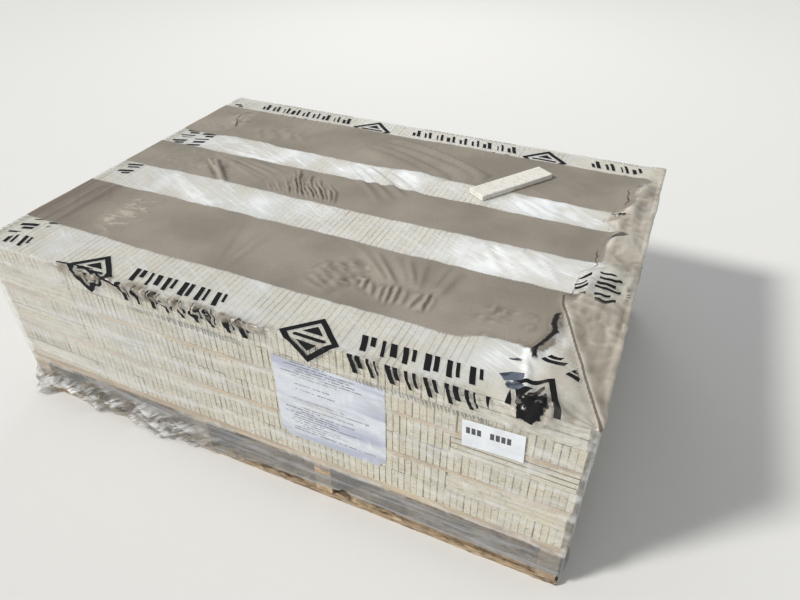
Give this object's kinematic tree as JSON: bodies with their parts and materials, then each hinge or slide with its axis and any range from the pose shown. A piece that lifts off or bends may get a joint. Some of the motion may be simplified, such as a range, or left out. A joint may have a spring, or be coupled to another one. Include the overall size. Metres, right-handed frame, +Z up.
{
  "type": "pallet of bricks",
  "caption": "Thin bricks on edge in layered courses on a wooden pallet, under a baggy clear film hood, with papers on one side and a loose brick on top.",
  "frame": {"origin": "on the floor, under the middle of the load", "axes": "+X along the load, +Y across it, away from the side with the papers, +Z up"},
  "size_m": [1.62, 1.1745, 0.5618],
  "materials": {
    "brick": "matt fired cream clay, sanded face",
    "slip_sheet": "plain brown board, dusty edges",
    "pallet_wood": "rough sawn softwood, splintered",
    "film": "clear film, creased and dusty",
    "document_paper": "printed office paper",
    "label_paper": "white label stock, black print"
  },
  "bodies": {
    "root": {"brick_course_1": "brick", "brick_course_2": "brick", "brick_course_3": "brick", "brick_course_4": "brick", "brick_course_5": "brick", "brick_course_6": "brick", "slip_sheet_1": "slip_sheet", "slip_sheet_2": "slip_sheet", "stringer_1": "pallet_wood", "stringer_2": "pallet_wood", "stringer_3": "pallet_wood", "stringer_4": "pallet_wood", "deck_board_1": "pallet_wood", "deck_board_2": "pallet_wood", "deck_board_3": "pallet_wood", "deck_board_4": "pallet_wood", "deck_board_5": "pallet_wood", "deck_board_6": "pallet_wood", "deck_board_7": "pallet_wood", "bottom_board_1": "pallet_wood", "bottom_board_2": "pallet_wood", "bottom_board_3": "pallet_wood", "film_hood": "film", "document_sheet": "document_paper", "pallet_label": "label_paper", "loose_brick": "brick"}
  },
  "joints": []
}
